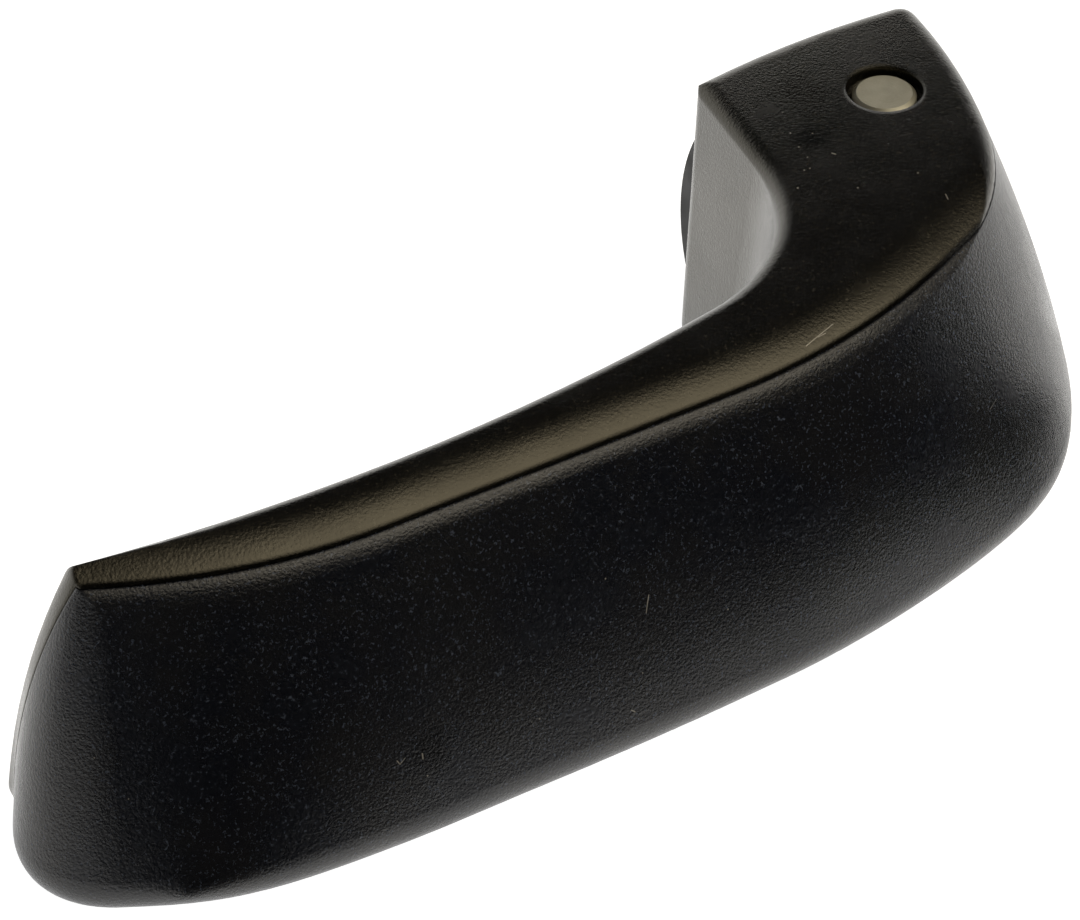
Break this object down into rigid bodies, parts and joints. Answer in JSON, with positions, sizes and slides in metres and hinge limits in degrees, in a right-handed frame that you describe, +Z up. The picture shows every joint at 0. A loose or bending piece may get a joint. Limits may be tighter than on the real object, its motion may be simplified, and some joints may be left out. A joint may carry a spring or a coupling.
{
  "type": "car interior door handle",
  "caption": "Moulded pull lever of a car's inside door handle: bowed grip with a leaning front cover, arm on a steel pivot pin, return spring, stop bumper and an eye for the latch rod.",
  "frame": {"origin": "on the pivot axis at half the lever's height", "axes": "+Z up along the pivot pin, +X from the free end of the grip to the pivot end, -Y towards the passenger"},
  "size_m": [0.1227, 0.0599, 0.029],
  "materials": {
    "lever_black": "satin black, fine grain",
    "cover_black": "satin black, fine grain",
    "pin_steel": "plated, turned end",
    "spring_steel": "drawn wire",
    "bumper_rubber": "matt"
  },
  "bodies": {
    "pivot": {"pivot_pin": "pin_steel", "return_spring": "spring_steel"},
    "lever": {"lever_body": "lever_black", "front_cover": "cover_black", "stop_bumper": "bumper_rubber"}
  },
  "joints": [
    {"name": "lever_swing", "type": "hinge", "parent": "pivot", "child": "lever", "pos_m": [0, 0, 0], "axis": [0, 0, 1], "range_deg": [0, 40], "stiffness_Nm_per_rad": 0.2, "springref_deg": -20.05, "deforming": ["return_spring"]}
  ]
}
